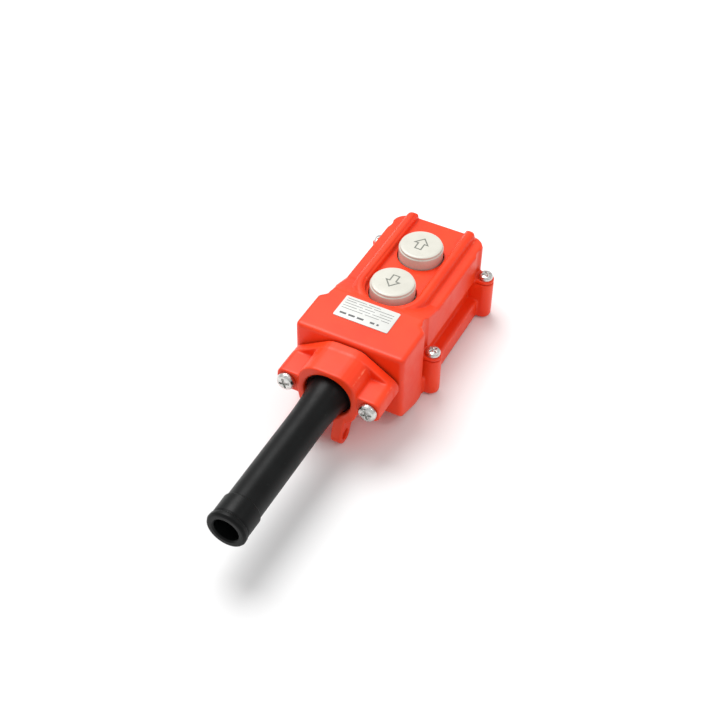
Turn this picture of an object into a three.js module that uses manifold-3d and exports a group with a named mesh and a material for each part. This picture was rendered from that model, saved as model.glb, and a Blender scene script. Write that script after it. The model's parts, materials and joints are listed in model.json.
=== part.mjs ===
// Pendant control station: two guarded push buttons in a two-part housing, with a
// bolted cable gland and a rubber cable boot. It lies on its back.
// Millimetres, +Z up, +Y towards the button end, X = 0 is the middle plane.

import * as THREE from 'three';
import { mergeVertices } from 'three/addons/utils/BufferGeometryUtils.js';
import Module from 'manifold-3d';

const wasm = await Module();
wasm.setup();

// ---------- driving dimensions ----------

const PARTING_Z = 23.5;        // joint plane of front housing and rear cover
const SEAM = 0.3;              // gap left between neighbouring pieces

const BODY_HALF_W = 27;        // front housing, button zone
const BODY_FAR_Y = 115;
const BODY_CORNER_R = 9;
const FLOOR_Z = 41.6;          // floor of the button channel
const FLOOR_T = 3;
const GUARD_TOP_Z = 46.4;      // crest of the finger guards
const GUARD_OUT_R = 20.6;
const GUARD_IN_R = 14.3;
const GUARD_FAR_Y = 113.8;

const BLOCK_HALF_W = 30.4;     // full-depth terminal block end
const BLOCK_NEAR_Y = 2.9;
const BLOCK_FAR_Y = 28;
const BLOCK_TOP_Z = 46.9;
const BLOCK_HEEL_Z = 7.5;      // underside at the near face, slopes down to the back
const RAMP_START_Y = 36;
const WALL = 3;

const CAVITY_HALF_W = 21.8;
const COVER_HALF_W = 23.75;    // recessed wall of the rear cover
const COVER_NEAR_Y = 28.3;
const COVER_FAR_Y = 113.6;
const COVER_WALL = 2.45;
const COVER_RIM_Z = 24.9;      // lip that enters the front housing
const BAND_HALF_W = 30;        // foot band below the recess
const BAND_TOP_Z = 12;

const EAR_X = 31.9;            // housing screws
const EAR_YS = { near: 35.8, far: 103.2 };
const EAR_R = 4.7;
const EAR_TOP_Z = 25.75;

const BUTTON_YS = { down: 52, up: 86 };
const CAP_R = 12;
const CAP_TOP_Z = 49.4;
const CAP_FLANGE_R = 13.4;
const CAP_BOTTOM_Z = 35.6;
const BUTTON_BORE_R = 12.55;
const SEAL_POCKET_R = 15;

const SWITCH_TOP_Z = 26.7;     // top plate of a contact block
const TERMINAL_TOP_Z = 14.2;
const BRIDGE_Z = 18.5;         // underside of the moving contact at rest

const GLAND_Z = 29.2;          // axis of gland and boot
const GLAND_SCREW_X = 22.8;
const FLANGE_Y = [1.8, -3.8];
const COLLAR_FACE_Y = -20;
const COLLAR_HALF = 16.2;      // rounded-square collar, half its width
const COLLAR_CORNER_R = 11;
const COLLAR_BORE_R = 12.9;
const LUG_X = [4.2, 10.2];
const LUG_Y = -18.6;
const LUG_Z = 5.8;
const LUG_R = 5.5;
const LUG_HOLE_R = 3.05;

const BOOT_END_Y = -115;
const BOOT_BORE_R = 6.6;

// ---------- materials ----------

function material(color, roughness, metalness = 0) {
  return new THREE.MeshStandardMaterial({ color, roughness, metalness });
}

const ORANGE = material(0xf2401c, 0.45);
const BLACK_RUBBER = material(0x262827, 0.6);
const OFF_WHITE = material(0xe9e2d4, 0.4);
const LABEL_WHITE = material(0xf1efe9, 0.35);
const ZINC = material(0xc9cac8, 0.3, 1);
const BRASS = material(0xc9a557, 0.35, 1);
const SPRING_STEEL = material(0xb4b7ba, 0.3, 1);
const SWITCH_BLACK = material(0x2b2c2e, 0.5);
const PLUNGER_GREY = material(0x8d9093, 0.5);

// ---------- solid helpers ----------

// Closed geometry to a manifold solid.
function solid(geometry) {
  const bare = new THREE.BufferGeometry();
  bare.setAttribute('position', geometry.getAttribute('position'));
  if (geometry.index) {
    bare.setIndex(geometry.index);
  }
  const welded = mergeVertices(bare, 1e-4);
  const vertProperties = new Float32Array(welded.getAttribute('position').array);
  const triVerts = new Uint32Array(wholeTriangles(welded.index.array));
  if (signedVolume(vertProperties, triVerts) < 0) {
    for (let i = 0; i < triVerts.length; i += 3) {
      [triVerts[i], triVerts[i + 1]] = [triVerts[i + 1], triVerts[i]];
    }
  }
  return new wasm.Manifold(new wasm.Mesh({ numProp: 3, vertProperties, triVerts }));
}

// Triangles that keep three different corners.
function wholeTriangles(index) {
  const kept = [];
  for (let i = 0; i < index.length; i += 3) {
    const [a, b, c] = [index[i], index[i + 1], index[i + 2]];
    if (a !== b && b !== c && c !== a) {
      kept.push(a, b, c);
    }
  }
  return kept;
}

function signedVolume(points, triangles) {
  const a = new THREE.Vector3();
  const b = new THREE.Vector3();
  const c = new THREE.Vector3();
  let volume = 0;
  for (let i = 0; i < triangles.length; i += 3) {
    a.fromArray(points, 3 * triangles[i]);
    b.fromArray(points, 3 * triangles[i + 1]);
    c.fromArray(points, 3 * triangles[i + 2]);
    volume += a.dot(b.cross(c)) / 6;
  }
  return volume;
}

function union(...solids) {
  return solids.reduce((sum, next) => sum.add(next));
}

function cut(body, ...tools) {
  return tools.reduce((rest, tool) => rest.subtract(tool), body);
}

function mesh(name, body, mat) {
  const data = body.getMesh();
  const geometry = new THREE.BufferGeometry();
  geometry.setAttribute('position', new THREE.BufferAttribute(new Float32Array(data.vertProperties), 3));
  geometry.setIndex(new THREE.BufferAttribute(new Uint32Array(data.triVerts), 1));
  const flat = geometry.toNonIndexed();
  flat.computeVertexNormals();
  const part = new THREE.Mesh(flat, mat);
  part.name = name;
  return part;
}

// Outline with rounded corners: each corner is [u, v, radius].
function outline(corners) {
  const shape = new THREE.Shape();
  const count = corners.length;
  corners.forEach(([u, v, radius = 0], i) => {
    const here = new THREE.Vector2(u, v);
    const before = new THREE.Vector2(...corners[(i + count - 1) % count].slice(0, 2)).sub(here);
    const after = new THREE.Vector2(...corners[(i + 1) % count].slice(0, 2)).sub(here);
    const half = Math.acos(before.dot(after) / (before.length() * after.length())) / 2;
    if (radius === 0) {
      addPoint(shape, here, i === 0);
      return;
    }
    const reach = radius / Math.tan(half);
    const middle = before.clone().normalize().add(after.clone().normalize()).normalize();
    const centre = here.clone().addScaledVector(middle, radius / Math.sin(half));
    const from = here.clone().addScaledVector(before.normalize(), reach).sub(centre);
    const to = here.clone().addScaledVector(after.normalize(), reach).sub(centre);
    const sweep = Math.atan2(from.cross(to), from.dot(to));
    const steps = Math.max(2, Math.ceil(Math.abs(sweep) / 0.4));
    for (let k = 0; k <= steps; k += 1) {
      const point = from.clone().rotateAround(new THREE.Vector2(), (sweep * k) / steps).add(centre);
      addPoint(shape, point, i === 0 && k === 0);
    }
  });
  return shape;
}

function addPoint(shape, point, first) {
  if (first) {
    shape.moveTo(point.x, point.y);
  } else {
    shape.lineTo(point.x, point.y);
  }
}

function box2(u0, u1, v0, v1, radius = 0) {
  return outline([[u0, v0, radius], [u1, v0, radius], [u1, v1, radius], [u0, v1, radius]]);
}

function disc2(u, v, radius, steps = 24) {
  const shape = new THREE.Shape();
  for (let k = 0; k < steps; k += 1) {
    const angle = (2 * Math.PI * k) / steps;
    addPoint(shape, new THREE.Vector2(u + radius * Math.cos(angle), v + radius * Math.sin(angle)), k === 0);
  }
  return shape;
}

// Tight band around discs, each [u, v, radius].
function hull2(discs, steps = 36) {
  const points = [];
  discs.forEach(([u, v, radius]) => {
    for (let k = 0; k < steps; k += 1) {
      const angle = (2 * Math.PI * k) / steps;
      points.push([u + radius * Math.cos(angle), v + radius * Math.sin(angle)]);
    }
  });
  points.sort((p, q) => p[0] - q[0] || p[1] - q[1]);
  const half = (list) => {
    const chain = [];
    list.forEach((p) => {
      while (chain.length > 1 && turn(chain[chain.length - 2], chain[chain.length - 1], p) <= 1e-7) {
        chain.pop();
      }
      chain.push(p);
    });
    chain.pop();
    return chain;
  };
  const ring = [...half(points), ...half([...points].reverse())];
  return new THREE.Shape(ring.map(([u, v]) => new THREE.Vector2(u, v)));
}

function turn(a, b, c) {
  return (b[0] - a[0]) * (c[1] - a[1]) - (b[1] - a[1]) * (c[0] - a[0]);
}

// Shape swept from lo to hi; the rim edges are rounded by `round` [across, along].
function sweep(shape, lo, hi, round) {
  const [across, along] = round || [0, 0];
  const geometry = new THREE.ExtrudeGeometry(shape, {
    depth: hi - lo - 2 * along,
    steps: 1,
    curveSegments: 1,
    bevelEnabled: Boolean(round),
    bevelSize: across,
    bevelOffset: -across,
    bevelThickness: along,
    bevelSegments: 2,
  });
  geometry.translate(0, 0, lo + along);
  return geometry;
}

// Shape in (X, Y), swept along Z.
function upright(shape, z0, z1, round) {
  return solid(sweep(shape, z0, z1, round));
}

// Shape in (Y, Z), swept along X.
function sideways(shape, x0, x1, round) {
  const geometry = sweep(shape, x0, x1, round);
  const turned = new THREE.Matrix4().makeBasis(
    new THREE.Vector3(0, 1, 0),
    new THREE.Vector3(0, 0, 1),
    new THREE.Vector3(1, 0, 0),
  );
  return solid(geometry.applyMatrix4(turned));
}

// Shape in (X, Z), swept along Y.
function lengthways(shape, y0, y1, round) {
  const geometry = sweep(shape, -y1, -y0, round);
  const turned = new THREE.Matrix4().makeBasis(
    new THREE.Vector3(1, 0, 0),
    new THREE.Vector3(0, 0, 1),
    new THREE.Vector3(0, -1, 0),
  );
  return solid(geometry.applyMatrix4(turned));
}

function brick(x0, x1, y0, y1, z0, z1) {
  const geometry = new THREE.BoxGeometry(x1 - x0, y1 - y0, z1 - z0);
  geometry.translate((x0 + x1) / 2, (y0 + y1) / 2, (z0 + z1) / 2);
  return solid(geometry);
}

// Turned piece: profile of [radius, height] points, closed on its own axis or as a ring.
function turned(profile, x, y, z, axis = 'z', segments = 32) {
  const points = profile.map(([radius, height]) => new THREE.Vector2(radius, height));
  const geometry = new THREE.LatheGeometry(points, segments);
  if (axis === 'z') {
    geometry.rotateX(Math.PI / 2);
  }
  geometry.translate(x, y, z);
  return solid(geometry);
}

function post(x, y, radius, z0, z1, segments = 24) {
  return upright(disc2(x, y, radius, segments), z0, z1);
}

function rod(x, z, radius, y0, y1, segments = 28) {
  return lengthways(disc2(x, z, radius, segments), y0, y1);
}

function ring(profile) {
  return [...profile, profile[0]];
}

// ---------- housing ----------

function bodyPlan(halfWidth, nearY, farY, radius) {
  return outline([
    [-halfWidth, nearY],
    [halfWidth, nearY],
    [halfWidth, farY, radius],
    [-halfWidth, farY, radius],
  ]);
}

function blockPlan() {
  const neck = BODY_HALF_W - 0.1;
  const shoulderY = 27.5;
  return outline([
    [-BLOCK_HALF_W, BLOCK_NEAR_Y, 2.5],
    [BLOCK_HALF_W, BLOCK_NEAR_Y, 2.5],
    [BLOCK_HALF_W, shoulderY, 2.4],
    [neck, shoulderY + BLOCK_HALF_W - neck, 1.2],
    [neck, RAMP_START_Y],
    [-neck, RAMP_START_Y],
    [-neck, shoulderY + BLOCK_HALF_W - neck, 1.2],
    [-BLOCK_HALF_W, shoulderY, 2.4],
  ]);
}

function blockSide() {
  return outline([
    [BLOCK_NEAR_Y, BLOCK_HEEL_Z, 2.5],
    [24, 0, 5],
    [RAMP_START_Y + 1, 0],
    [RAMP_START_Y + 1, BLOCK_TOP_Z],
    [BLOCK_NEAR_Y, BLOCK_TOP_Z, 2],
  ]);
}

// Stadium round the down button, open-ended towards the far end.
function channelPlan(radius, farY, farRadius) {
  const centreY = BUTTON_YS.down;
  const shape = new THREE.Shape();
  const steps = 20;
  for (let k = 0; k <= steps; k += 1) {
    const angle = Math.PI + (Math.PI * k) / steps;
    const point = new THREE.Vector2(radius * Math.cos(angle), centreY + radius * Math.sin(angle));
    addPoint(shape, point, k === 0);
  }
  if (farRadius === 0) {
    shape.lineTo(radius, farY);
    shape.lineTo(-radius, farY);
    return shape;
  }
  for (const side of [1, -1]) {
    for (let k = 0; k <= 4; k += 1) {
      const angle = (Math.PI / 8) * (side > 0 ? k : k + 4);
      const x = side * (radius - farRadius) + farRadius * Math.cos(angle);
      shape.lineTo(x, farY - farRadius + farRadius * Math.sin(angle));
    }
  }
  return shape;
}

function guards() {
  const outer = upright(channelPlan(GUARD_OUT_R, GUARD_FAR_Y, 3), 36, GUARD_TOP_Z, [2.4, 4.2]);
  const channel = upright(channelPlan(GUARD_IN_R, BODY_FAR_Y + 10, 0), FLOOR_Z, 60);
  return { outer, channel };
}

function channelFlare() {
  return upright(channelPlan(GUARD_IN_R + 1.6, BODY_FAR_Y + 10, 0), GUARD_TOP_Z - 1.6, 60, [1.6, 1.6]);
}

function earPlan(side, y, radius = EAR_R) {
  return hull2([[side * EAR_X, y, radius], [side * 26, y, radius]], 24);
}

function eachEar(visit) {
  return Object.entries(EAR_YS).flatMap(([end, y]) => [
    visit(-1, y, `${end}_left`),
    visit(1, y, `${end}_right`),
  ]);
}

function frontHousingShell() {
  const block = upright(blockPlan(), 0, BLOCK_TOP_Z, [1.8, 1.8]).intersect(
    sideways(blockSide(), -40, 40),
  );
  const plan = bodyPlan(BODY_HALF_W, 30, BODY_FAR_Y, BODY_CORNER_R);
  const body = upright(plan, 10, FLOOR_Z, [1.6, 1.6]);
  const ramp = sideways(
    outline([
      [32, FLOOR_Z - 6],
      [RAMP_START_Y + 16, FLOOR_Z - 6],
      [RAMP_START_Y + 16, FLOOR_Z],
      [RAMP_START_Y - 0.5, BLOCK_TOP_Z],
      [32, BLOCK_TOP_Z],
    ]),
    -BODY_HALF_W,
    BODY_HALF_W,
    [1.6, 1.6],
  );
  const { outer, channel } = guards();
  const belowParting = brick(-50, 50, BLOCK_FAR_Y, 130, -10, PARTING_Z + SEAM / 2);
  const scoops = eachEar((side, y) => post(side * EAR_X, y, 6.2, EAR_TOP_Z, 60));
  return cut(union(block, body, ramp, outer), channel, channelFlare(), belowParting, ...scoops);
}

function frontHousingCavity() {
  const wiring = sideways(
    outline([
      [BLOCK_NEAR_Y + WALL, BLOCK_HEEL_Z + WALL + 0.4, 1],
      [22.5, WALL + 1.2, 3],
      [BLOCK_FAR_Y - WALL, WALL + 1.2],
      [BLOCK_FAR_Y - WALL, BLOCK_TOP_Z - WALL],
      [BLOCK_NEAR_Y + WALL, BLOCK_TOP_Z - WALL, 1],
    ]),
    -BLOCK_HALF_W + WALL,
    BLOCK_HALF_W - WALL,
  );
  const passage = brick(-CAVITY_HALF_W, CAVITY_HALF_W, BLOCK_FAR_Y - WALL - 1, 32, 29, FLOOR_Z - FLOOR_T);
  const room = upright(bodyPlan(CAVITY_HALF_W, 30.6, COVER_FAR_Y - 2, 4), 5, FLOOR_Z - FLOOR_T);
  const rebatePlan = bodyPlan(COVER_HALF_W + SEAM, COVER_NEAR_Y - SEAM, COVER_FAR_Y + SEAM, 6);
  const rebate = upright(rebatePlan, 5, 26.7);
  return union(wiring, passage, room, rebate);
}

function buttonBores() {
  return Object.values(BUTTON_YS).map((y) => union(
    post(0, y, BUTTON_BORE_R, 30, 60, 48),
    post(0, y, SEAL_POCKET_R, 30, FLOOR_Z - 1.3, 48),
  ));
}

function frontHousing() {
  const shell = cut(frontHousingShell(), frontHousingCavity());
  const coverRoom = brick(-COVER_HALF_W - SEAM, COVER_HALF_W + SEAM, 20, 120, 10, 30);
  const ears = eachEar((side, y) => {
    const ear = upright(earPlan(side, y), PARTING_Z + SEAM / 2, EAR_TOP_Z, [0.5, 0.5]);
    return ear.subtract(coverRoom);
  });
  const glandBosses = [-1, 1].map((side) => rod(side * GLAND_SCREW_X, GLAND_Z, 5.6, 5, 12.5));
  const earHoles = eachEar((side, y) => post(side * EAR_X, y, 2.3, 10, 40, 20));
  const glandHoles = [-1, 1].map((side) => rod(side * GLAND_SCREW_X, GLAND_Z, 4.1, 0, 11, 24));
  const cableHole = rod(0, GLAND_Z, 11, 0, 8);
  const body = cut(
    union(shell, ...ears, ...glandBosses),
    ...buttonBores(),
    ...earHoles,
    ...glandHoles,
    cableHole,
  );
  return mesh('front_housing', body, ORANGE);
}

function rearCover() {
  const tub = upright(outline([
    [-COVER_HALF_W, COVER_NEAR_Y, 2],
    [COVER_HALF_W, COVER_NEAR_Y, 2],
    [COVER_HALF_W, COVER_FAR_Y, 6],
    [-COVER_HALF_W, COVER_FAR_Y, 6],
  ]), 2, COVER_RIM_Z);
  const band = upright(outline([
    [-BAND_HALF_W, COVER_NEAR_Y, 1.5],
    [BAND_HALF_W, COVER_NEAR_Y, 1.5],
    [BAND_HALF_W, BODY_FAR_Y - 0.6, 8],
    [-BAND_HALF_W, BODY_FAR_Y - 0.6, 8],
  ]), 0, BAND_TOP_Z, [1.2, 1.2]);
  const bosses = eachEar((side, y) => upright(earPlan(side, y), 0, PARTING_Z + 3, [1.4, 1.4]).subtract(
    brick(-60, 60, 0, 130, PARTING_Z - SEAM / 2, 60),
  ));
  const inner = COVER_HALF_W - COVER_WALL;
  const room = upright(outline([
    [-inner, COVER_NEAR_Y + COVER_WALL, 3],
    [inner, COVER_NEAR_Y + COVER_WALL, 3],
    [inner, COVER_FAR_Y - COVER_WALL, 4],
    [-inner, COVER_FAR_Y - COVER_WALL, 4],
  ]), WALL, 60);
  const pillars = eachMountScrew((x, y) => post(x, y, 3.2, WALL - 1, 7.7, 24));
  const pilots = eachMountScrew((x, y) => post(x, y, 1.7, 3.4, 20, 16));
  const pockets = eachEar((side, y) => union(
    post(side * EAR_X, y, 3.3, 12.7, 40, 24),
    post(side * EAR_X, y, 2.3, 6, 20, 20),
  ));
  const body = cut(union(cut(union(tub, band, ...bosses), room), ...pillars), ...pilots, ...pockets);
  return mesh('rear_cover', body, ORANGE);
}

function housingGasket() {
  const outer = outline([
    [-23.7, 28.4, 2],
    [23.7, 28.4, 2],
    [23.7, COVER_FAR_Y - 0.1, 5.9],
    [-23.7, COVER_FAR_Y - 0.1, 5.9],
  ]);
  const inner = box2(-22, 22, 30.8, COVER_FAR_Y - 2.2, 4);
  const body = upright(outer, 25.2, 26.4).subtract(upright(inner, 20, 30));
  return mesh('housing_gasket', body, BLACK_RUBBER);
}

// ---------- screws and inserts ----------

// Pan-head machine screw standing on +Z, seat of the head at height 0.
function panScrew(headR, headH, shankR, length, recess, segments = 20) {
  const head = [
    [0, -length],
    [shankR * 0.7, -length],
    [shankR, -length + 0.6],
    [shankR, 0],
    [headR, 0],
    [headR, headH * 0.45],
    [headR * 0.86, headH * 0.84],
    [headR * 0.55, headH],
    [0, headH],
  ];
  const slot = recess / 2;
  const width = headR * 0.12;
  const floor = headH * 0.5;
  return cut(
    turned(head, 0, 0, 0, 'z', segments),
    brick(-slot, slot, -width, width, floor, headH + 1),
    brick(-width, width, -slot, slot, floor, headH + 1),
  );
}

function place(body, x, y, z) {
  return body.translate([x, y, z]);
}

function housingScrews() {
  return eachEar((side, y, label) => mesh(
    `housing_screw_${label}`,
    place(panScrew(3.9, 2.5, 1.9, 12.2, 4.6).rotate([0, 0, 25 + y]), side * EAR_X, y, EAR_TOP_Z + SEAM / 2),
    ZINC,
  ));
}

function threadedInserts() {
  const profile = ring([[2.1, 0], [3, 0], [3, 9.6], [2.1, 9.6]]);
  return eachEar((side, y, label) => mesh(
    `threaded_insert_${label}`,
    turned(profile, side * EAR_X, y, 13, 'z', 16),
    BRASS,
  ));
}

function glandScrews() {
  const seatY = -19.3;
  return [['left', -1], ['right', 1]].map(([label, side]) => {
    const screw = panScrew(4.9, 3.2, 2.35, 28.4, 6).rotate([0, 0, 15]).rotate([90, 0, 0]);
    return mesh(`gland_screw_${label}`, place(screw, side * GLAND_SCREW_X, seatY, GLAND_Z), ZINC);
  });
}

function glandInserts() {
  const profile = ring([[2.6, 3.1], [3.8, 3.1], [3.8, 10.6], [2.6, 10.6]]);
  return [['left', -1], ['right', 1]].map(([label, side]) => mesh(
    `gland_insert_${label}`,
    turned(profile, side * GLAND_SCREW_X, 0, GLAND_Z, 'y', 16),
    BRASS,
  ));
}

// ---------- cable entry ----------

function collarDiscs(grow) {
  const reach = COLLAR_HALF - COLLAR_CORNER_R;
  return [[-1, -1], [1, -1], [1, 1], [-1, 1]].map(([u, v]) => [
    u * reach,
    GLAND_Z + v * reach,
    COLLAR_CORNER_R + grow,
  ]);
}

function flangePlan(grow = 0) {
  return hull2([
    ...collarDiscs(0.3 + grow),
    [-GLAND_SCREW_X, GLAND_Z, 6.5 + grow],
    [GLAND_SCREW_X, GLAND_Z, 6.5 + grow],
  ], 28);
}

function lug(side) {
  const [x0, x1] = LUG_X.map((x) => side * x).sort((a, b) => a - b);
  const root = [-13.5, 19, 6];
  return sideways(hull2([[LUG_Y, LUG_Z, LUG_R], root], 28), x0, x1, [0.7, 0.7]);
}

function glandBody() {
  const flange = lengthways(flangePlan(), FLANGE_Y[1], FLANGE_Y[0], [0.5, 0.5]);
  const collar = lengthways(hull2(collarDiscs(0), 28), COLLAR_FACE_Y, -2, [0.7, 0.7]);
  const ears = [-1, 1].map((side) => {
    const inner = side * 12;
    const outer = side * 28.6;
    const plan = outline([
      [inner, GLAND_Z - 6],
      [outer, GLAND_Z - 6, 3.6],
      [outer, GLAND_Z + 6, 3.6],
      [inner, GLAND_Z + 6],
    ]);
    return lengthways(plan, COLLAR_FACE_Y + 1, -3, [0.5, 0.5]);
  });
  const bore = turned([
    [0, -40],
    [COLLAR_BORE_R + 0.8, -40],
    [COLLAR_BORE_R + 0.8, COLLAR_FACE_Y],
    [COLLAR_BORE_R, COLLAR_FACE_Y + 0.8],
    [COLLAR_BORE_R, -1.4],
    [14.9, -1.4],
    [14.8, 5],
    [0, 5],
  ], 0, 0, GLAND_Z, 'y', 44);
  const screwHoles = [-1, 1].map((side) => rod(side * GLAND_SCREW_X, GLAND_Z, 2.9, -40, 10, 24));
  const lugHole = sideways(disc2(LUG_Y, LUG_Z, LUG_HOLE_R, 32), -30, 30);
  const body = cut(union(flange, collar, ...ears, lug(-1), lug(1)), bore, lugHole, ...screwHoles);
  return mesh('gland_body', body, ORANGE);
}

function glandGasket() {
  const body = cut(
    lengthways(flangePlan(-1.3), 2, 2.7),
    rod(0, GLAND_Z, 11.5, 0, 5),
    ...[-1, 1].map((side) => rod(side * GLAND_SCREW_X, GLAND_Z, 3, 0, 5, 24)),
  );
  return mesh('gland_gasket', body, BLACK_RUBBER);
}

function cableBoot() {
  const bore = BOOT_BORE_R;
  const profile = ring([
    [bore + 4.4, 1.5],
    [14.6, 1.5],
    [14.6, -1.1],
    [12.6, -1.1],
    [12.6, -17.4],
    [11.6, -18.4],
    [10.9, -20.5],
    [10.3, -24],
    [9.7, -30],
    [9.35, -37],
    [9.25, -46],
    [9.25, -100],
    [10, -100.8],
    [9.9, -110.6],
    [9.6, -111.4],
    [10.3, -112.2],
    [10.4, BOOT_END_Y + 1.2],
    [9.9, BOOT_END_Y + 0.3],
    [9.2, BOOT_END_Y],
    [bore + 0.6, BOOT_END_Y],
    [bore, BOOT_END_Y + 0.6],
    [bore, -34],
    [bore + 2.6, -16],
    [bore + 4.4, -6],
  ]);
  return mesh('cable_boot', turned(profile, 0, 0, GLAND_Z, 'y', 36), BLACK_RUBBER);
}

// ---------- label ----------

function labelPlate() {
  const plate = upright(box2(-16.6, 14.1, 17.1, 33.1, 0.6), BLOCK_TOP_Z + 0.05, BLOCK_TOP_Z + 0.55);
  return mesh('label_plate', plate, LABEL_WHITE);
}

// ---------- push buttons ----------

function buttonCap(name, y) {
  const profile = [
    [0, CAP_TOP_Z - 3.2],
    [9.8, CAP_TOP_Z - 3.2],
    [9.8, CAP_BOTTOM_Z],
    [CAP_FLANGE_R, CAP_BOTTOM_Z],
    [CAP_FLANGE_R, CAP_BOTTOM_Z + 2.4],
    [CAP_R, CAP_BOTTOM_Z + 2.4],
    [CAP_R, CAP_TOP_Z - 2.3],
    [CAP_R - 0.6, CAP_TOP_Z - 1.9],
    [CAP_R - 0.6, CAP_TOP_Z - 1],
    [CAP_R - 1.1, CAP_TOP_Z - 0.45],
    [8.6, CAP_TOP_Z - 0.28],
    [4.3, CAP_TOP_Z - 0.08],
    [0, CAP_TOP_Z],
  ];
  return mesh(`button_cap_${name}`, turned(profile, 0, y, 0, 'z', 48), OFF_WHITE);
}

function buttonSeal(name, y) {
  const profile = ring([[12.3, 38.5], [14.7, 38.5], [14.7, 40], [12.9, 40], [12.3, 39.4]]);
  return mesh(`button_seal_${name}`, turned(profile, 0, y, 0, 'z', 36), BLACK_RUBBER);
}

function plunger(name, y) {
  const profile = [
    [0, 17.4],
    [1.4, 17.4],
    [1.4, 19.9],
    [3, 19.9],
    [3, 43.4],
    [4.4, 43.4],
    [4.4, CAP_TOP_Z - 3.5],
    [0, CAP_TOP_Z - 3.5],
  ];
  return mesh(`plunger_${name}`, turned(profile, 0, y, 0, 'z', 28), PLUNGER_GREY);
}

class Helix extends THREE.Curve {
  constructor(radius, z0, z1, turns) {
    super();
    Object.assign(this, { radius, z0, z1, turns });
  }

  getPoint(t, target = new THREE.Vector3()) {
    const angle = 2 * Math.PI * this.turns * t;
    return target.set(
      this.radius * Math.cos(angle),
      this.radius * Math.sin(angle),
      this.z0 + (this.z1 - this.z0) * t,
    );
  }
}

function returnSpring(name, y) {
  const wire = 0.55;
  const turns = 5;
  const path = new Helix(7.2, SWITCH_TOP_Z + SEAM + wire, CAP_TOP_Z - 3.5 - wire, turns);
  const coil = new THREE.ExtrudeGeometry(disc2(0, 0, wire, 6), {
    steps: turns * 14,
    bevelEnabled: false,
    extrudePath: path,
  });
  coil.translate(0, y, 0);
  return mesh(`return_spring_${name}`, solid(coil), SPRING_STEEL);
}

// ---------- contact blocks ----------

function eachMountScrew(visit) {
  return Object.entries(BUTTON_YS).flatMap(([name, y]) => [
    visit(-16.5, y + 6.3, `${name}_left`),
    visit(16.5, y - 6.3, `${name}_right`),
  ]);
}

function contactBlock(name, y) {
  const base = upright(box2(-20.4, 20.4, y - 9, y + 9, 1), 8, 12.7);
  const tower = upright(box2(-12, 12, y - 9, y + 9, 1), 10, SWITCH_TOP_Z);
  const chamber = brick(-9, 9, y - 12, y + 12, 12.7, SWITCH_TOP_Z - 2.5);
  const slots = brick(-30, 30, y - 3.3, y + 3.3, 12.7, 14.5);
  const guide = post(0, y, 3.4, 20, 30, 28);
  const clampHoles = [-1, 1].map((side) => post(side * 16.2, y, 1.8, 9, 20, 20));
  const mountHoles = [post(-16.5, y + 6.3, 1.7, 0, 20, 20), post(16.5, y - 6.3, 1.7, 0, 20, 20)];
  const body = cut(union(base, tower), chamber, slots, guide, ...clampHoles, ...mountHoles);
  return mesh(`contact_block_${name}`, body, SWITCH_BLACK);
}

function contactBridge(name, y) {
  const strip = upright(box2(-8.3, 8.3, y - 2.6, y + 2.6, 0.8), BRIDGE_Z, BRIDGE_Z + 1.1);
  const pads = [-1, 1].map((side) => post(side * 6.3, y, 1.6, BRIDGE_Z - 0.05, BRIDGE_Z + 1.1, 16));
  const body = cut(union(strip, ...pads), post(0, y, 1.7, 10, 30, 20));
  return mesh(`contact_bridge_${name}`, body, BRASS);
}

function fixedTerminals(name, y) {
  return [['left', -1], ['right', 1]].map(([label, side]) => {
    const x0 = Math.min(side * 4.4, side * 19.6);
    const x1 = Math.max(side * 4.4, side * 19.6);
    const strip = upright(box2(x0, x1, y - 3, y + 3, 0.6), 13, TERMINAL_TOP_Z);
    const body = strip.subtract(post(side * 16.2, y, 1.8, 10, 20, 20));
    return mesh(`fixed_terminal_${name}_${label}`, body, BRASS);
  });
}

function terminalScrews(name, y) {
  return [['left', -1], ['right', 1]].map(([label, side]) => mesh(
    `terminal_screw_${name}_${label}`,
    place(panScrew(2.9, 1.9, 1.4, 5, 3.4, 12).rotate([0, 0, 40]), side * 16.2, y, TERMINAL_TOP_Z + SEAM),
    ZINC,
  ));
}

function blockMountScrews() {
  return eachMountScrew((x, y, label) => mesh(
    `block_mount_screw_${label}`,
    place(panScrew(2.4, 1.7, 1.3, 9.2, 2.8, 12).rotate([0, 0, 10]), x, y, 13),
    ZINC,
  ));
}

// ---------- assembly ----------

function buttonStation(name, y) {
  return [
    buttonCap(name, y),
    buttonSeal(name, y),
    plunger(name, y),
    returnSpring(name, y),
    contactBlock(name, y),
    contactBridge(name, y),
    ...fixedTerminals(name, y),
    ...terminalScrews(name, y),
  ];
}

const station = new THREE.Group();
station.name = 'pendant_control_station';
station.add(
  frontHousing(),
  rearCover(),
  housingGasket(),
  ...housingScrews(),
  ...threadedInserts(),
  glandBody(),
  glandGasket(),
  ...glandScrews(),
  ...glandInserts(),
  cableBoot(),
  labelPlate(),
  ...Object.entries(BUTTON_YS).flatMap(([name, y]) => buttonStation(name, y)),
  ...blockMountScrews(),
);

export default station;
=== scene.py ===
import json
import math

import bmesh
import bpy
from mathutils import Matrix, Vector


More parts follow.
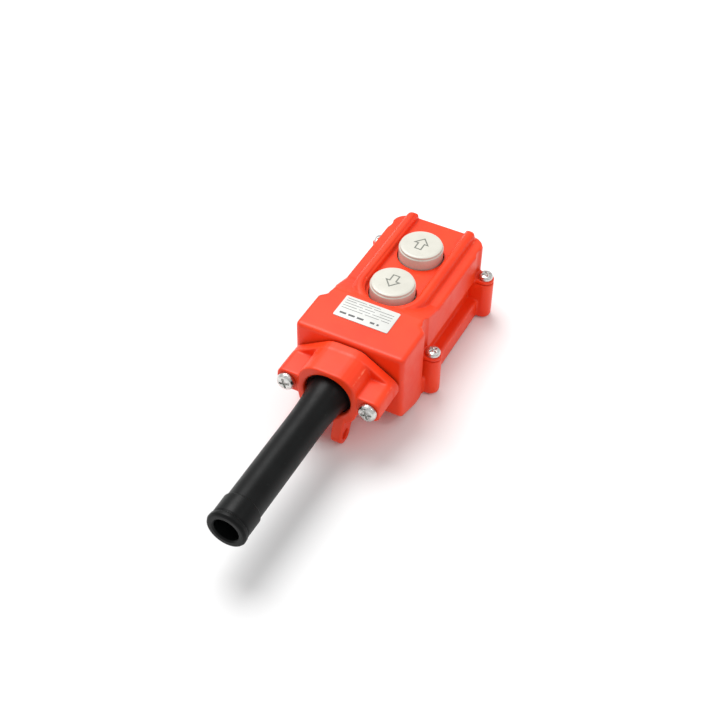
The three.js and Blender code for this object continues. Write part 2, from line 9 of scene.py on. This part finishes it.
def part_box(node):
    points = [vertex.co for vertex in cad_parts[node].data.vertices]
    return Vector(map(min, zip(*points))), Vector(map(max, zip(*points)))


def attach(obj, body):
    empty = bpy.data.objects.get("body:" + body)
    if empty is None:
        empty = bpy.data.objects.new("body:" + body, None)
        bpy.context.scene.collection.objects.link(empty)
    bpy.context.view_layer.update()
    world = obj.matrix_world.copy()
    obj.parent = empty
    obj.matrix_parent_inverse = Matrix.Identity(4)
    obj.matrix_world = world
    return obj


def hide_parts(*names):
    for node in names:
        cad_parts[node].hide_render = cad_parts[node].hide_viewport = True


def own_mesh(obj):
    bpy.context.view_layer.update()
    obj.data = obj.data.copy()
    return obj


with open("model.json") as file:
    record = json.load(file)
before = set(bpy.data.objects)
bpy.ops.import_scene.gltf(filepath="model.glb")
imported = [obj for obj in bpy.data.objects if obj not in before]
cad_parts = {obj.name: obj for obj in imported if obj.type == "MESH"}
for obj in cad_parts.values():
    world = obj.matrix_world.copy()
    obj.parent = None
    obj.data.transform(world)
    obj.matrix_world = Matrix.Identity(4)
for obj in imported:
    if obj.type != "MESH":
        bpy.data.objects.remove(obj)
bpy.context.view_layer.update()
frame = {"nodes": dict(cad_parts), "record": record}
nodes = frame["nodes"]

MM = 0.001
BUTTONS = ("down", "up")
STATION = "station"


# ---------- materials ----------


class Graph:
    """Short names for building one material's node tree. Noise scales are per metre."""

    def __init__(self, name):
        self.material = bpy.data.materials.new(name)
        self.material.use_nodes = True
        self.tree = self.material.node_tree
        self.shader = self.tree.nodes["Principled BSDF"]
        coordinates = self.tree.nodes.new("ShaderNodeTexCoord")
        self.place = coordinates.outputs["Object"]

    def node(self, kind, **inputs):
        made = self.tree.nodes.new(kind)
        for key, value in inputs.items():
            self.feed(made.inputs[key.replace("_", " ")], value)
        return made

    def feed(self, socket, value):
        if isinstance(value, bpy.types.NodeSocket):
            self.tree.links.new(value, socket)
        else:
            socket.default_value = value

    def noise(self, scale, detail=4.0, roughness=0.5, place=None):
        made = self.node("ShaderNodeTexNoise", Scale=scale, Detail=detail, Roughness=roughness)
        self.feed(made.inputs["Vector"], place or self.place)
        return made.outputs["Fac"]

    def stretched(self, scale):
        made = self.node("ShaderNodeMapping", Scale=scale)
        self.feed(made.inputs["Vector"], self.place)
        return made.outputs["Vector"]

    def ramp(self, value, low, high, out_low=0.0, out_high=1.0):
        made = self.node("ShaderNodeMapRange")
        self.feed(made.inputs["Value"], value)
        self.feed(made.inputs["From Min"], low)
        self.feed(made.inputs["From Max"], high)
        self.feed(made.inputs["To Min"], out_low)
        self.feed(made.inputs["To Max"], out_high)
        return made.outputs["Result"]

    def math(self, operation, a, b=0.0):
        made = self.tree.nodes.new("ShaderNodeMath")
        made.operation = operation
        self.feed(made.inputs[0], a)
        self.feed(made.inputs[1], b)
        return made.outputs[0]

    def blend(self, amount, a, b):
        made = self.tree.nodes.new("ShaderNodeMix")
        made.data_type = "RGBA"
        colours = [socket for socket in made.inputs if socket.type == "RGBA"]
        self.feed(made.inputs["Factor"], amount)
        self.feed(colours[0], a)
        self.feed(colours[1], b)
        return next(socket for socket in made.outputs if socket.type == "RGBA")

    def edges(self, low, high):
        geometry = self.tree.nodes.new("ShaderNodeNewGeometry")
        return self.ramp(geometry.outputs["Pointiness"], low, high)

    def bump(self, height, distance, strength=1.0, under=None):
        made = self.node("ShaderNodeBump", Strength=strength, Distance=distance)
        self.feed(made.inputs["Height"], height)
        if under is not None:
            self.feed(made.inputs["Normal"], under)
        return made.outputs["Normal"]

    def finish(self, **inputs):
        for key, value in inputs.items():
            self.feed(self.shader.inputs[key.replace("_", " ")], value)
        return self.material


def rgb(red, green, blue):
    """Display colour 0 to 255 as a linear colour."""

    def linear(value):
        share = value / 255
        return share / 12.92 if share <= 0.04045 else ((share + 0.055) / 1.055) ** 2.4

    return (linear(red), linear(green), linear(blue), 1.0)


def moulded_orange(name, seed):
    """Satin red-orange thermoplastic: cloudy pigment, fine spark grain, scuffed edges."""
    g = Graph(name)
    offset = g.node("ShaderNodeMapping", Location=(seed, seed * 0.7, 0.0))
    g.feed(offset.inputs["Vector"], g.place)
    place = offset.outputs["Vector"]
    clouds = g.ramp(g.noise(38.0, 5.0, 0.55, place), 0.35, 0.68)
    pigment = g.blend(clouds, rgb(238, 54, 14), rgb(244, 65, 21))
    scuff = g.math("MULTIPLY", g.edges(0.53, 0.62), g.ramp(g.noise(260.0, 6.0, 0.7, place), 0.45, 0.62))
    worn = g.blend(g.math("MULTIPLY", scuff, 0.55), pigment, rgb(255, 146, 112))
    specks = g.ramp(g.noise(900.0, 2.0, 0.5, place), 0.735, 0.77)
    dusty = g.blend(g.math("MULTIPLY", specks, 0.35), worn, rgb(120, 30, 16))
    rough = g.ramp(g.noise(120.0, 6.0, 0.65, place), 0.3, 0.7, 0.34, 0.47)
    rough = g.math("ADD", rough, g.math("MULTIPLY", scuff, 0.12))
    scratches = g.ramp(g.noise(14.0, 8.0, 0.75, g.stretched((9.0, 150.0, 60.0))), 0.6, 0.66)
    grain = g.bump(g.noise(3400.0, 3.0, 0.6, place), 0.00003, 0.22)
    waves = g.bump(g.noise(45.0, 2.0, 0.4, place), 0.0004, 0.12, grain)
    normal = g.bump(scratches, 0.00001, 0.15, waves)
    return g.finish(Base_Color=dusty, Roughness=rough, Normal=normal, Specular_IOR_Level=0.36)


def boot_rubber():
    """Black rubber with a faint grey bloom and dust."""
    g = Graph("boot_rubber")
    bloom = g.ramp(g.noise(60.0, 6.0, 0.6), 0.35, 0.75)
    colour = g.blend(bloom, rgb(7, 8, 8), rgb(15, 17, 17))
    dust = g.ramp(g.noise(420.0, 5.0, 0.7), 0.62, 0.78)
    colour = g.blend(g.math("MULTIPLY", dust, 0.25), colour, rgb(62, 63, 60))
    rough = g.ramp(g.noise(140.0, 5.0, 0.6), 0.3, 0.7, 0.34, 0.46)
    skin = g.bump(g.noise(2200.0, 3.0, 0.6), 0.00005, 0.3)
    normal = g.bump(g.noise(90.0, 3.0, 0.5), 0.0003, 0.15, skin)
    return g.finish(Base_Color=colour, Roughness=rough, Normal=normal, Specular_IOR_Level=0.16)


def seal_rubber():
    """Dull black rubber of the gaskets and button seals."""
    g = Graph("seal_rubber")
    colour = g.blend(g.noise(300.0, 4.0), rgb(16, 16, 16), rgb(38, 38, 37))
    rough = g.ramp(g.noise(500.0, 4.0), 0.3, 0.7, 0.55, 0.8)
    normal = g.bump(g.noise(2500.0, 2.0), 0.00004, 0.3)
    return g.finish(Base_Color=colour, Roughness=rough, Normal=normal)


def button_plastic():
    """Cream gloss plastic, a little yellowed and thumbed on top."""
    g = Graph("button_plastic")
    age = g.ramp(g.noise(110.0, 4.0, 0.55), 0.3, 0.72)
    colour = g.blend(age, rgb(200, 198, 187), rgb(211, 209, 198))
    grime = g.math("MULTIPLY", g.ramp(g.noise(330.0, 6.0, 0.7), 0.6, 0.78), 0.3)
    colour = g.blend(grime, colour, rgb(180, 170, 148))
    rough = g.ramp(g.noise(420.0, 5.0, 0.65), 0.3, 0.7, 0.24, 0.38)
    normal = g.bump(g.noise(1800.0, 3.0, 0.55), 0.00002, 0.2)
    return g.finish(Base_Color=colour, Roughness=rough, Normal=normal, Coat_Weight=0.15, Coat_Roughness=0.2)


def label_film():
    """White satin film, a little uneven."""
    g = Graph("label_film")
    colour = g.blend(g.ramp(g.noise(160.0, 5.0), 0.3, 0.75), rgb(220, 221, 217), rgb(210, 210, 205))
    rough = g.ramp(g.noise(600.0, 4.0), 0.3, 0.7, 0.28, 0.4)
    normal = g.bump(g.noise(220.0, 3.0), 0.00008, 0.12)
    return g.finish(Base_Color=colour, Roughness=rough, Normal=normal)


def print_ink(name, dark, light):
    """Matte ink, thinner in places."""
    g = Graph(name)
    colour = g.blend(g.ramp(g.noise(1500.0, 3.0), 0.3, 0.7), dark, light)
    rough = g.ramp(g.noise(900.0, 3.0), 0.3, 0.7, 0.4, 0.6)
    normal = g.bump(g.noise(3000.0, 2.0), 0.00001, 0.2)
    return g.finish(Base_Color=colour, Roughness=rough, Normal=normal)


def bright_zinc():
    """Zinc-plated steel: faint turning marks, duller pits."""
    g = Graph("bright_zinc")
    tint = g.blend(g.ramp(g.noise(700.0, 5.0), 0.3, 0.7), rgb(196, 196, 194), rgb(226, 226, 222))
    pits = g.ramp(g.noise(1600.0, 4.0, 0.6), 0.62, 0.74)
    colour = g.blend(g.math("MULTIPLY", pits, 0.5), tint, rgb(120, 118, 112))
    rough = g.ramp(g.noise(900.0, 6.0, 0.65), 0.3, 0.7, 0.2, 0.36)
    normal = g.bump(g.noise(1300.0, 4.0, 0.6), 0.00004, 0.25)
    return g.finish(Base_Color=colour, Metallic=1.0, Roughness=rough, Normal=normal)


def metal(name, dark, light, rough_low, rough_high, stretch):
    """Bare metal with tool or drawing streaks along the stretched direction."""
    g = Graph(name)
    streaks = g.noise(40.0, 6.0, 0.6, g.stretched(stretch))
    colour = g.blend(g.ramp(streaks, 0.35, 0.65), dark, light)
    rough = g.ramp(g.noise(700.0, 4.0), 0.3, 0.7, rough_low, rough_high)
    normal = g.bump(streaks, 0.00002, 0.25)
    return g.finish(Base_Color=colour, Metallic=1.0, Roughness=rough, Normal=normal)


def plain_plastic(name, dark, light):
    """Matte technical plastic of the inner pieces."""
    g = Graph(name)
    colour = g.blend(g.ramp(g.noise(200.0, 4.0), 0.3, 0.7), dark, light)
    rough = g.ramp(g.noise(500.0, 4.0), 0.3, 0.7, 0.42, 0.6)
    normal = g.bump(g.noise(2600.0, 2.0), 0.00003, 0.3)
    return g.finish(Base_Color=colour, Roughness=rough, Normal=normal)


MATERIALS = {
    "housing_front": moulded_orange("moulded_orange_front", 0.0),
    "housing_rear": moulded_orange("moulded_orange_rear", 0.37),
    "gland_plastic": moulded_orange("moulded_orange_gland", 0.81),
    "boot_rubber": boot_rubber(),
    "rubber_seal": seal_rubber(),
    "button_plastic": button_plastic(),
    "label": label_film(),
    "zinc_screw": bright_zinc(),
    "brass": metal("machined_brass", rgb(170, 130, 62), rgb(214, 178, 98), 0.24, 0.4, (30, 30, 400)),
    "spring_steel": metal("drawn_wire", rgb(140, 141, 143), rgb(186, 187, 189), 0.22, 0.38, (300, 300, 300)),
    "switch_plastic": plain_plastic("switch_plastic", rgb(30, 31, 33), rgb(46, 47, 49)),
    "plunger_plastic": plain_plastic("plunger_plastic", rgb(138, 140, 143), rgb(160, 162, 164)),
}
ARROW_INK = print_ink("arrow_ink", rgb(104, 106, 98), rgb(128, 130, 121))
RULE_INK = print_ink("rule_ink", rgb(70, 70, 72), rgb(104, 104, 106))


# ---------- mesh helpers ----------


def add_object(name, mesh, material, body, smooth_angle):
    """A new piece on a body; edges sharper than the angle stay hard, and 0 smooths them all."""
    piece = bpy.data.objects.new(name, mesh)
    bpy.context.collection.objects.link(piece)
    mesh.materials.clear()
    mesh.materials.append(material)
    mesh.shade_smooth()
    if smooth_angle:
        mesh.set_sharp_from_angle(angle=math.radians(smooth_angle))
    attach(piece, body)
    return piece


def evaluated(piece):
    """The piece's mesh with its modifiers applied."""
    graph = bpy.context.evaluated_depsgraph_get()
    return bpy.data.meshes.new_from_object(piece.evaluated_get(graph))


def softened(node, name, slot, voxel, smoothing, keep):
    """A copy of a CAD node's shape with its hard edges melted into small moulded radii.

    The voxel is in mm, smoothing counts passes, and keep is the share of triangles kept.
    """
    mesh = nodes[node].data.copy()
    scratch = bpy.data.objects.new(name + "_scratch", mesh)
    bpy.context.collection.objects.link(scratch)
    remesh = scratch.modifiers.new("remesh", "REMESH")
    remesh.mode = "VOXEL"
    remesh.voxel_size = voxel * MM
    remesh.adaptivity = 0.0
    melt = scratch.modifiers.new("melt", "SMOOTH")
    melt.factor = 0.5
    melt.iterations = smoothing
    thin = scratch.modifiers.new("thin", "DECIMATE")
    thin.ratio = keep
    result = evaluated(scratch)
    bpy.data.objects.remove(scratch)
    piece = add_object(name, result, MATERIALS[slot], STATION, 0.0)
    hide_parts(node)


def filleted(profile, steps=4):
    """Profile points [radius, height, fillet] with the fillets turned into arcs."""
    points = []
    for i, corner in enumerate(profile):
        here = Vector(corner[:2])
        fillet = corner[2] if len(corner) > 2 else 0.0
        if fillet == 0.0:
            points.append(here)
            continue
        before = (Vector(profile[i - 1][:2]) - here).normalized()
        after = (Vector(profile[(i + 1) % len(profile)][:2]) - here).normalized()
        half = before.angle(after) / 2
        centre = here + (before + after).normalized() * (fillet / math.sin(half))
        start = here + before * (fillet / math.tan(half)) - centre
        end = here + after * (fillet / math.tan(half)) - centre
        turn = math.atan2(start.x * end.y - start.y * end.x, start.dot(end))
        for k in range(steps + 1):
            angle = turn * k / steps
            cos, sin = math.cos(angle), math.sin(angle)
            spun = Vector((start.x * cos - start.y * sin, start.x * sin + start.y * cos))
            points.append(centre + spun)
    return points


def lathe(name, profile, centre, axis, segments, closed):
    """Turned mesh. Profile in mm, centre in metres, axis "y" or "z"."""
    form = bmesh.new()
    points = filleted(profile)
    rings = []
    for point in points:
        radius, height = point.x * MM, point.y * MM
        if radius < 1e-7:
            rings.append([form.verts.new(turned_point(0.0, height, 0.0, centre, axis))])
            continue
        rings.append(
            [
                form.verts.new(turned_point(radius, height, math.tau * k / segments, centre, axis))
                for k in range(segments)
            ]
        )
    spans = list(zip(rings, rings[1:]))
    if closed:
        spans.append((rings[-1], rings[0]))
    for low, high in spans:
        for k in range(segments):
            corners = [low[k % len(low)], low[(k + 1) % len(low)]]
            corners += [high[(k + 1) % len(high)], high[k % len(high)]]
            unique = list(dict.fromkeys(corners))
            if len(unique) > 2:
                form.faces.new(unique)
    bmesh.ops.recalc_face_normals(form, faces=form.faces)
    mesh = bpy.data.meshes.new(name)
    form.to_mesh(mesh)
    form.free()
    return mesh


def turned_point(radius, height, angle, centre, axis):
    across, along = radius * math.cos(angle), radius * math.sin(angle)
    if axis == "z":
        return Vector(centre) + Vector((across, along, height))
    return Vector(centre) + Vector((across, height, along))


def ribbon(name, outline, width, surface, thickness):
    """Thin raised band along a closed outline [x, y] in metres, lying on surface(x, y)."""
    form = bmesh.new()
    count = len(outline)
    inner, outer = [], []
    for i, point in enumerate(outline):
        before = (point - outline[i - 1]).normalized()
        after = (outline[(i + 1) % count] - point).normalized()
        normal = (Vector((-before.y, before.x)) + Vector((-after.y, after.x))).normalized()
        reach = width / 2 / max(0.4, normal.dot(Vector((-before.y, before.x))))
        inner.append(point + normal * reach)
        outer.append(point - normal * reach)
    rows = []
    for lift in (-thickness, thickness):
        for line in (inner, outer):
            rows.append([form.verts.new((p.x, p.y, surface(p.x, p.y) + lift)) for p in line])
    in_low, out_low, in_top, out_top = rows
    for i in range(count):
        j = (i + 1) % count
        form.faces.new((in_top[i], in_top[j], out_top[j], out_top[i]))
        form.faces.new((in_low[j], in_low[i], out_low[i], out_low[j]))
        form.faces.new((in_low[i], in_low[j], in_top[j], in_top[i]))
        form.faces.new((out_low[j], out_low[i], out_top[i], out_top[j]))
    bmesh.ops.recalc_face_normals(form, faces=form.faces)
    mesh = bpy.data.meshes.new(name)
    form.to_mesh(mesh)
    form.free()
    return mesh


def bars(name, rectangles, low, high):
    """Flat printed bars, each [x0, x1, y0, y1] in metres, between two heights."""
    form = bmesh.new()
    for x0, x1, y0, y1 in rectangles:
        size = Matrix.Diagonal((x1 - x0, y1 - y0, high - low, 1.0))
        spot = Matrix.Translation(((x0 + x1) / 2, (y0 + y1) / 2, (low + high) / 2))
        bmesh.ops.create_cube(form, size=1.0, matrix=spot @ size)
    mesh = bpy.data.meshes.new(name)
    form.to_mesh(mesh)
    form.free()
    return mesh


# ---------- housing and gland ----------


def build_shells():
    softened("front_housing", "front_shell", "housing_front", voxel=0.42, smoothing=9, keep=0.3)
    softened("rear_cover", "rear_shell", "housing_rear", voxel=0.45, smoothing=9, keep=0.25)
    softened("gland_body", "gland_shell", "gland_plastic", voxel=0.38, smoothing=8, keep=0.35)


def build_screws():
    for end in ("near_left", "near_right", "far_left", "far_right"):
        names = f"housing_screw_{end}", f"cover_screw_{end}"
        softened(*names, "zinc_screw", voxel=0.16, smoothing=3, keep=0.5)
    for side in ("left", "right"):
        names = f"gland_screw_{side}", f"flange_screw_{side}"
        softened(*names, "zinc_screw", voxel=0.2, smoothing=3, keep=0.5)


# ---------- boot ----------


BOOT_R = 9.25
BOOT_BORE_R = 6.6
BOOT_SKIRT_R = 14.6
BOOT_NECK_R = 12.6
BOOT_BAND_R = 10.0


def build_boot():
    """Sleeve outline [radius, y, fillet] in mm: skirt, neck, taper, end band and bead, then the bore."""
    lo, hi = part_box("cable_boot")
    centre = ((lo.x + hi.x) / 2, 0.0, (lo.z + hi.z) / 2)
    end = lo.y / MM
    root = hi.y / MM
    profile = [
        (11.0, root, 0.4),
        (BOOT_SKIRT_R, root, 0.4),
        (BOOT_SKIRT_R, root - 2.6, 0.4),
        (BOOT_NECK_R, root - 2.6, 0.3),
        (BOOT_NECK_R, -17.4, 0.5),
        (11.55, -18.3, 0.6),
        (10.9, -20.5),
        (10.3, -24.0),
        (9.98, -27.0),
        (9.68, -30.5),
        (9.48, -34.0),
        (9.34, -38.0),
        (9.27, -42.5),
        (BOOT_R, -48.0),
        (BOOT_R, -99.9, 0.3),
        (BOOT_BAND_R, -100.6, 0.3),
        (9.9, -110.4, 0.3),
        (9.55, -111.4, 0.35),
        (10.3, -112.1, 0.35),
        (10.4, end + 1.2, 0.5),
        (9.9, end + 0.25, 0.3),
        (9.2, end, 0.3),
        (7.3, end, 0.35),
        (BOOT_BORE_R, end + 0.8, 0.35),
        (BOOT_BORE_R, -34.0),
        (9.2, -16.0),
        (11.0, -6.0),
    ]
    mesh = lathe("boot_sleeve", profile, centre, "y", 96, True)
    piece = add_object("boot_sleeve", mesh, MATERIALS["boot_rubber"], STATION, 50.0)
    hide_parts("cable_boot")


# ---------- push buttons ----------

# Cap outline [radius, height below the crown, fillet] in mm.
CAP_PROFILE = [
    (0.0, -3.2),
    (9.8, -3.2, 0.5),
    (9.8, -13.8, 0.3),
    (13.4, -13.8, 0.4),
    (13.4, -11.4, 0.4),
    (12.0, -11.4, 0.2),
    (12.0, -2.15, 0.45),
    (11.35, -1.85, 0.12),
    (11.4, -0.75, 0.45),
    (10.3, -0.42, 0.8),
    (8.6, -0.3),
    (6.5, -0.17),
    (4.3, -0.08),
    (2.1, -0.02),
    (0.0, 0.0),
]


CROWN_R = 8.6
CROWN_DROP = 0.3

ARROW_LENGTH = 9.0
ARROW_HEAD = 4.4
ARROW_HALF_HEAD = 3.7
ARROW_HALF_SHAFT = 1.75
ARROW_LINE = 0.72
ARROW_INK_HEIGHT = 0.035
ARROW_STEP = 0.8


def dome_drop(radius):
    """How far the cap's crown has fallen, in mm, at a radius in mm."""
    return CROWN_DROP * (radius / CROWN_R) ** 2


def arrow_outline(centre_x, centre_y, direction):
    """Block arrow along Y, in metres, its sides cut into short steps."""
    tip = ARROW_LENGTH / 2
    barb = tip - ARROW_HEAD
    corners = [
        (0.0, tip),
        (-ARROW_HALF_HEAD, barb),
        (-ARROW_HALF_SHAFT, barb),
        (-ARROW_HALF_SHAFT, -tip),
        (ARROW_HALF_SHAFT, -tip),
        (ARROW_HALF_SHAFT, barb),
        (ARROW_HALF_HEAD, barb),
    ]
    points = []
    for i, corner in enumerate(corners):
        here, there = Vector(corner), Vector(corners[(i + 1) % len(corners)])
        steps = max(2, round((there - here).length / ARROW_STEP))
        points += [here.lerp(there, k / steps) for k in range(steps)]
    flip = 1 if direction == "up" else -1
    return [Vector((centre_x + p.x * flip * MM, centre_y + p.y * flip * MM)) for p in points]


def build_button(name):
    """One cap with the outline arrow printed on its crown."""
    lo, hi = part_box(f"button_cap_{name}")
    centre = ((lo.x + hi.x) / 2, (lo.y + hi.y) / 2, hi.z)
    body = f"button_{name}"
    mesh = lathe(f"cap_{name}", CAP_PROFILE, centre, "z", 96, False)
    cap = add_object(f"cap_{name}", mesh, MATERIALS["button_plastic"], body, 60.0)
    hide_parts(f"button_cap_{name}")

    def crown(x, y):
        radius = math.hypot(x - centre[0], y - centre[1]) / MM
        return centre[2] - dome_drop(radius) * MM

    outline = arrow_outline(centre[0], centre[1], name)
    mark = ribbon(f"arrow_{name}", outline, ARROW_LINE * MM, crown, ARROW_INK_HEIGHT * MM)
    add_object(f"arrow_{name}", mark, ARROW_INK, body, 30.0)


def build_spring(name):
    """The return spring, copied from the CAD node onto the station."""
    node = f"return_spring_{name}"
    mesh = nodes[node].data.copy()
    coil = add_object(f"coil_{name}", mesh, MATERIALS["spring_steel"], STATION, 60.0)
    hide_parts(node)
    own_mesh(coil)


# ---------- label ----------


LABEL_CORNER = 0.8
LABEL_EDGE = 0.15

# Printed rows: place along the label, thickness in mm, starts and stops of the bars across it.
LABEL_ROWS = [
    (0.15, 1.3, (0.08, 0.2, 0.24, 0.36, 0.4, 0.52, 0.64, 0.72, 0.76, 0.8)),
    (0.42, 0.3, (0.05, 0.44, 0.48, 0.74, 0.78, 0.93)),
    (0.54, 0.3, (0.05, 0.3, 0.34, 0.55, 0.59, 0.93)),
    (0.66, 0.3, (0.05, 0.38, 0.42, 0.6, 0.7, 0.93)),
    (0.78, 0.3, (0.05, 0.24, 0.28, 0.52, 0.56, 0.93)),
    (0.88, 0.3, (0.05, 0.4, 0.44, 0.66)),
]


def build_label():
    """The film plate and its printed bars, which stand for lettering."""
    lo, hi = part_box("label_plate")
    form = bmesh.new()
    size = Matrix.Diagonal((hi.x - lo.x, hi.y - lo.y, hi.z - lo.z, 1.0))
    bmesh.ops.create_cube(form, size=1.0, matrix=Matrix.Translation((lo + hi) / 2) @ size)
    upright = [e for e in form.edges if abs((e.verts[0].co - e.verts[1].co).z) > 1e-5]
    bmesh.ops.bevel(form, geom=upright, offset=LABEL_CORNER * MM, segments=5, affect="EDGES", profile=0.5)
    top = [e for e in form.edges if all(abs(v.co.z - hi.z) < 1e-6 for v in e.verts)]
    bmesh.ops.bevel(form, geom=top, offset=LABEL_EDGE * MM, segments=2, affect="EDGES", profile=0.5)
    mesh = bpy.data.meshes.new("label_film")
    form.to_mesh(mesh)
    form.free()
    plate = add_object("label_film", mesh, MATERIALS["label"], STATION, 30.0)
    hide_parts("label_plate")
    width = hi.x - lo.x
    rules = []
    for height, thickness, ends in LABEL_ROWS:
        y = lo.y + height * (hi.y - lo.y)
        for start, stop in zip(ends[::2], ends[1::2]):
            rules.append((lo.x + start * width, lo.x + stop * width, y, y + thickness * MM))
    mesh = bars("label_rules", rules, hi.z - 0.03 * MM, hi.z + 0.02 * MM)
    add_object("label_rules", mesh, RULE_INK, STATION, 30.0)


# ---------- carried-over CAD nodes ----------


def paint_cad_nodes():
    """Every CAD node gets its slot's material, so the inner pieces are finished too."""
    for part in frame["record"]["subparts"]:
        cad = nodes[part["node"]]
        material = MATERIALS[part["material_slot"]]
        if not cad.material_slots:
            cad.data.materials.append(material)
        for slot in cad.material_slots:
            slot.material = material


# ---------- stage, light, camera ----------

LIGHT_TARGET = Vector((0.0, 0.0, 0.02))
SURROUND = 0.68

AZIMUTH, ELEVATION, ROLL = (math.radians(angle) for angle in (26.53, 44.55, 1.32))
LENS = 67.35
SENSOR = 36.0
CAMERA_PLACE = Vector((0.2196, -0.4238, 0.5077))
CAMERA_DROP = 0.0004


FLOOR_HALF = 3.0
FLOOR_DROP = 0.0005


def build_floor():
    """Plain pale paper, a hair below the back plane."""
    form = bmesh.new()
    bmesh.ops.create_grid(form, x_segments=8, y_segments=8, size=FLOOR_HALF)
    mesh = bpy.data.meshes.new("floor")
    form.to_mesh(mesh)
    form.free()
    g = Graph("floor_paper")
    colour = g.blend(g.noise(6.0, 3.0), (0.86, 0.86, 0.86, 1.0), (0.9, 0.9, 0.9, 1.0))
    g.finish(Base_Color=colour, Roughness=0.9)
    mesh.materials.append(g.material)
    floor = bpy.data.objects.new("floor", mesh)
    floor.location = (0.0, 0.0, -FLOOR_DROP)
    bpy.context.collection.objects.link(floor)


def area_light(name, position, size, power):
    """Round soft lamp aimed at the middle of the object."""
    light = bpy.data.lights.new(name, "AREA")
    light.shape = "DISK"
    light.size = size
    light.energy = power
    lamp = bpy.data.objects.new(name, light)
    lamp.location = position
    aim = LIGHT_TARGET - Vector(position)
    lamp.rotation_euler = aim.to_track_quat("-Z", "Y").to_euler()
    bpy.context.collection.objects.link(lamp)


def build_light():
    """Even white surround, a broad key from the upper left and a small sheen lamp on the right."""
    world = bpy.data.worlds.new("studio")
    bpy.context.scene.world = world
    world.use_nodes = True
    background = world.node_tree.nodes["Background"]
    background.inputs["Color"].default_value = (1.0, 1.0, 1.0, 1.0)
    background.inputs["Strength"].default_value = SURROUND
    area_light("key", (-0.45, 0.3, 1.05), 0.8, 10.8)
    area_light("sheen", (0.5, 0.1, 0.62), 0.12, 0.5)


def build_camera():
    """Camera at a heading, a height angle and a slight roll."""
    flat = math.cos(ELEVATION)
    back = Vector((math.sin(AZIMUTH) * flat, -math.cos(AZIMUTH) * flat, math.sin(ELEVATION)))
    right = Vector((math.cos(AZIMUTH), math.sin(AZIMUTH), 0.0))
    up = back.cross(right)
    across = right * math.cos(ROLL) + up * math.sin(ROLL)
    upward = up * math.cos(ROLL) - right * math.sin(ROLL)
    axes = Matrix((across, upward, back)).transposed().to_4x4()
    data = bpy.data.cameras.new("camera")
    data.lens = LENS
    data.sensor_width = SENSOR
    data.clip_start, data.clip_end = 0.01, 20.0
    camera = bpy.data.objects.new("camera", data)
    place = CAMERA_PLACE - upward * CAMERA_DROP
    camera.matrix_world = Matrix.Translation(place) @ axes
    bpy.context.collection.objects.link(camera)
    bpy.context.scene.camera = camera


build_camera()
build_shells()
build_screws()
build_boot()
for button in BUTTONS:
    build_button(button)
    build_spring(button)
build_label()
paint_cad_nodes()
build_floor()
build_light()
bpy.context.scene.view_settings.view_transform = "Standard"
